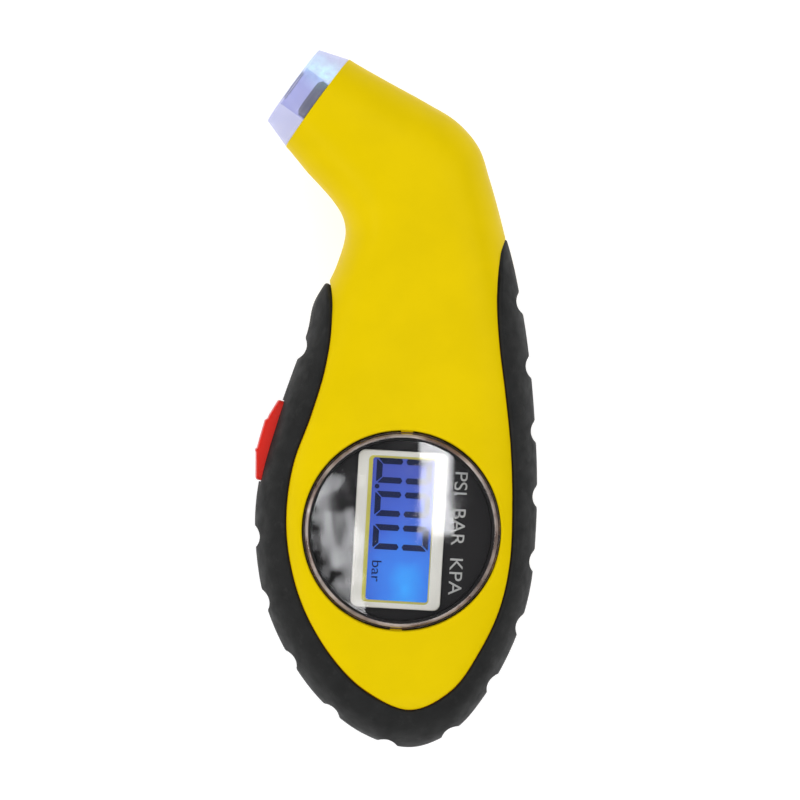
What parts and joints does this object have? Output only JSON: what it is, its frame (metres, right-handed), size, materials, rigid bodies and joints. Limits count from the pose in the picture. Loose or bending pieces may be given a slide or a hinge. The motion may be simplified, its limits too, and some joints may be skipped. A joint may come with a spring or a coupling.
{
  "type": "digital tyre pressure gauge",
  "caption": "Hand-held digital tyre pressure gauge: yellow bent casing, black rubber side band, clear lit nozzle cone, round display window and a red side button.",
  "frame": {"origin": "centre of the footprint, on the surface that the back of the casing rests on", "axes": "+Z out of the display, +Y along the handle towards the nozzle, +X to the right of the display"},
  "size_m": [0.0563, 0.1394, 0.0288],
  "materials": {
    "yellow_abs": "moulded gloss with fine grain",
    "black_rubber": "matte moulded rubber",
    "clear_plastic": "clear polished",
    "display_glass": "polished display glass",
    "backlight": "lit light guide",
    "brass": "turned",
    "steel": "plated",
    "silicone": "translucent silicone",
    "red_insulation": "wire insulation",
    "black_plastic": "moulded matte",
    "white_plastic": "moulded satin",
    "board_green": "solder mask",
    "ceramic": "ceramic",
    "red_plastic": "moulded satin"
  },
  "bodies": {
    "casing": {"front_shell": "yellow_abs", "rear_shell": "yellow_abs", "rubber_grip": "black_rubber", "nozzle_lens": "clear_plastic", "nozzle_seal": "black_rubber", "air_inlet": "brass", "valve_pin": "steel", "nozzle_led": "clear_plastic", "air_hose": "silicone", "led_wire_1": "red_insulation", "led_wire_2": "black_plastic", "display_lens": "clear_plastic", "lens_gasket": "black_rubber", "display_card": "black_plastic", "lcd_frame": "white_plastic", "display_holder": "black_plastic", "lcd_panel": "display_glass", "backlight_panel": "backlight", "zebra_strip": "black_rubber", "main_pcb": "board_green", "pressure_sensor": "black_plastic", "controller_chip": "black_plastic", "timing_crystal": "steel", "capacitor_1": "ceramic", "capacitor_2": "ceramic", "capacitor_3": "ceramic", "pcb_screw_1": "steel", "pcb_screw_2": "steel", "case_screw_1": "steel", "case_screw_2": "steel", "case_screw_3": "steel", "case_screw_4": "steel", "case_screw_5": "steel", "switch_body": "steel", "coin_cell": "steel", "battery_tray": "white_plastic", "contact_negative": "steel", "contact_positive": "steel", "battery_wire_1": "black_plastic", "battery_wire_2": "red_insulation"},
    "button_cap": {"power_button": "red_plastic"},
    "plunger": {"switch_plunger": "black_plastic"},
    "cover": {"battery_cover": "yellow_abs"}
  },
  "joints": [
    {"name": "button_press", "type": "slide", "parent": "casing", "child": "button_cap", "axis": [0.9641, -0.2656, 0], "range_m": [0, 0.0005], "stiffness_N_per_m": 1500, "springref_m": -0.0004},
    {"name": "plunger_press", "type": "slide", "parent": "casing", "child": "plunger", "axis": [0.9641, -0.2656, 0], "range_m": [0, 0.0005]},
    {"name": "cover_turn", "type": "hinge", "parent": "casing", "child": "cover", "pos_m": [0.0012, -0.026, 0], "axis": [0, 0, 1], "range_deg": [0, 45]}
  ],
  "couplings": [
    {"joint": "plunger_press", "follows": "button_press", "ratio": 1}
  ]
}
